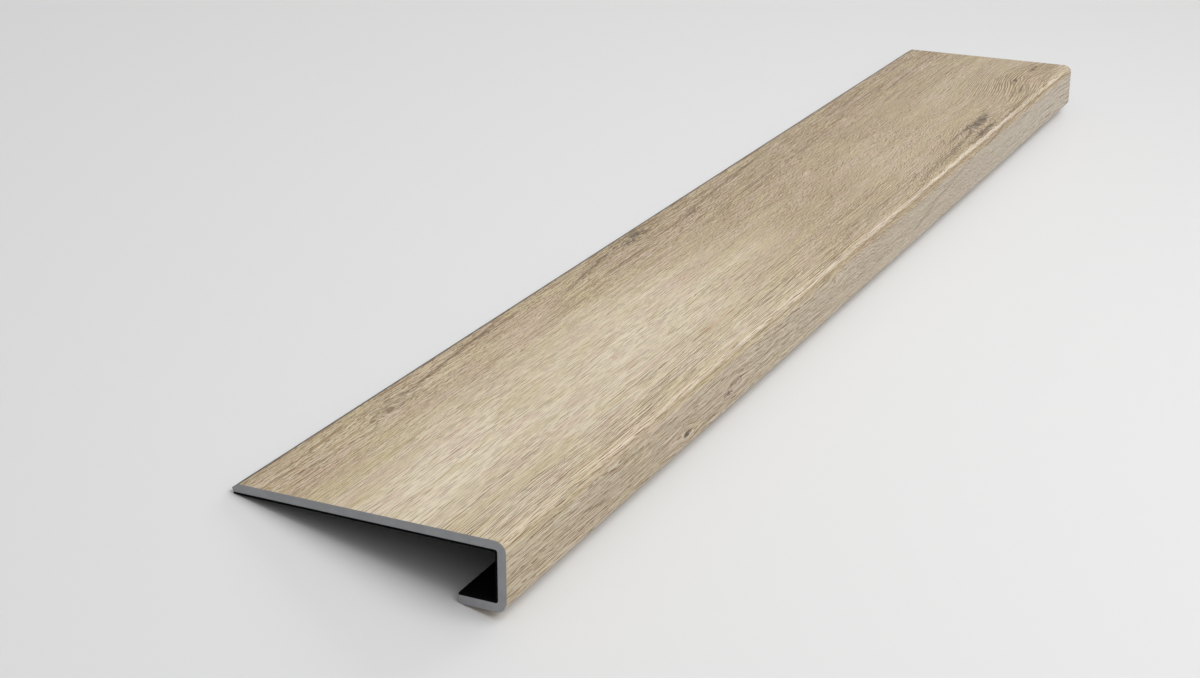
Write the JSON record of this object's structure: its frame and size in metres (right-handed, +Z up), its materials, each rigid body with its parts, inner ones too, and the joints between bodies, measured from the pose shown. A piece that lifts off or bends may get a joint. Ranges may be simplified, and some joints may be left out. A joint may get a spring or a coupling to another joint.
{
  "type": "stair tread",
  "caption": "Folded oak-look vinyl stair tread: a flat walking face with a rounded nose, a front drop and a short lip that hook over the front edge of a step, backed with thin foam.",
  "frame": {"origin": "on the floor, under the middle of the tread's box", "axes": "+X along the tread, nose towards -Y, +Z up; stored tipped back by 13.9 degrees about X, as it rests on a level floor on its lip's free edge and the foot of its rear edge"},
  "size_m": [1.22, 0.176, 0.0462],
  "materials": {
    "oak_print": "matte",
    "grey_core": "matte",
    "black_foam": "matte"
  },
  "bodies": {
    "root": {"oak_film": "oak_print", "core_board": "grey_core", "foam_pad": "black_foam"}
  },
  "joints": []
}
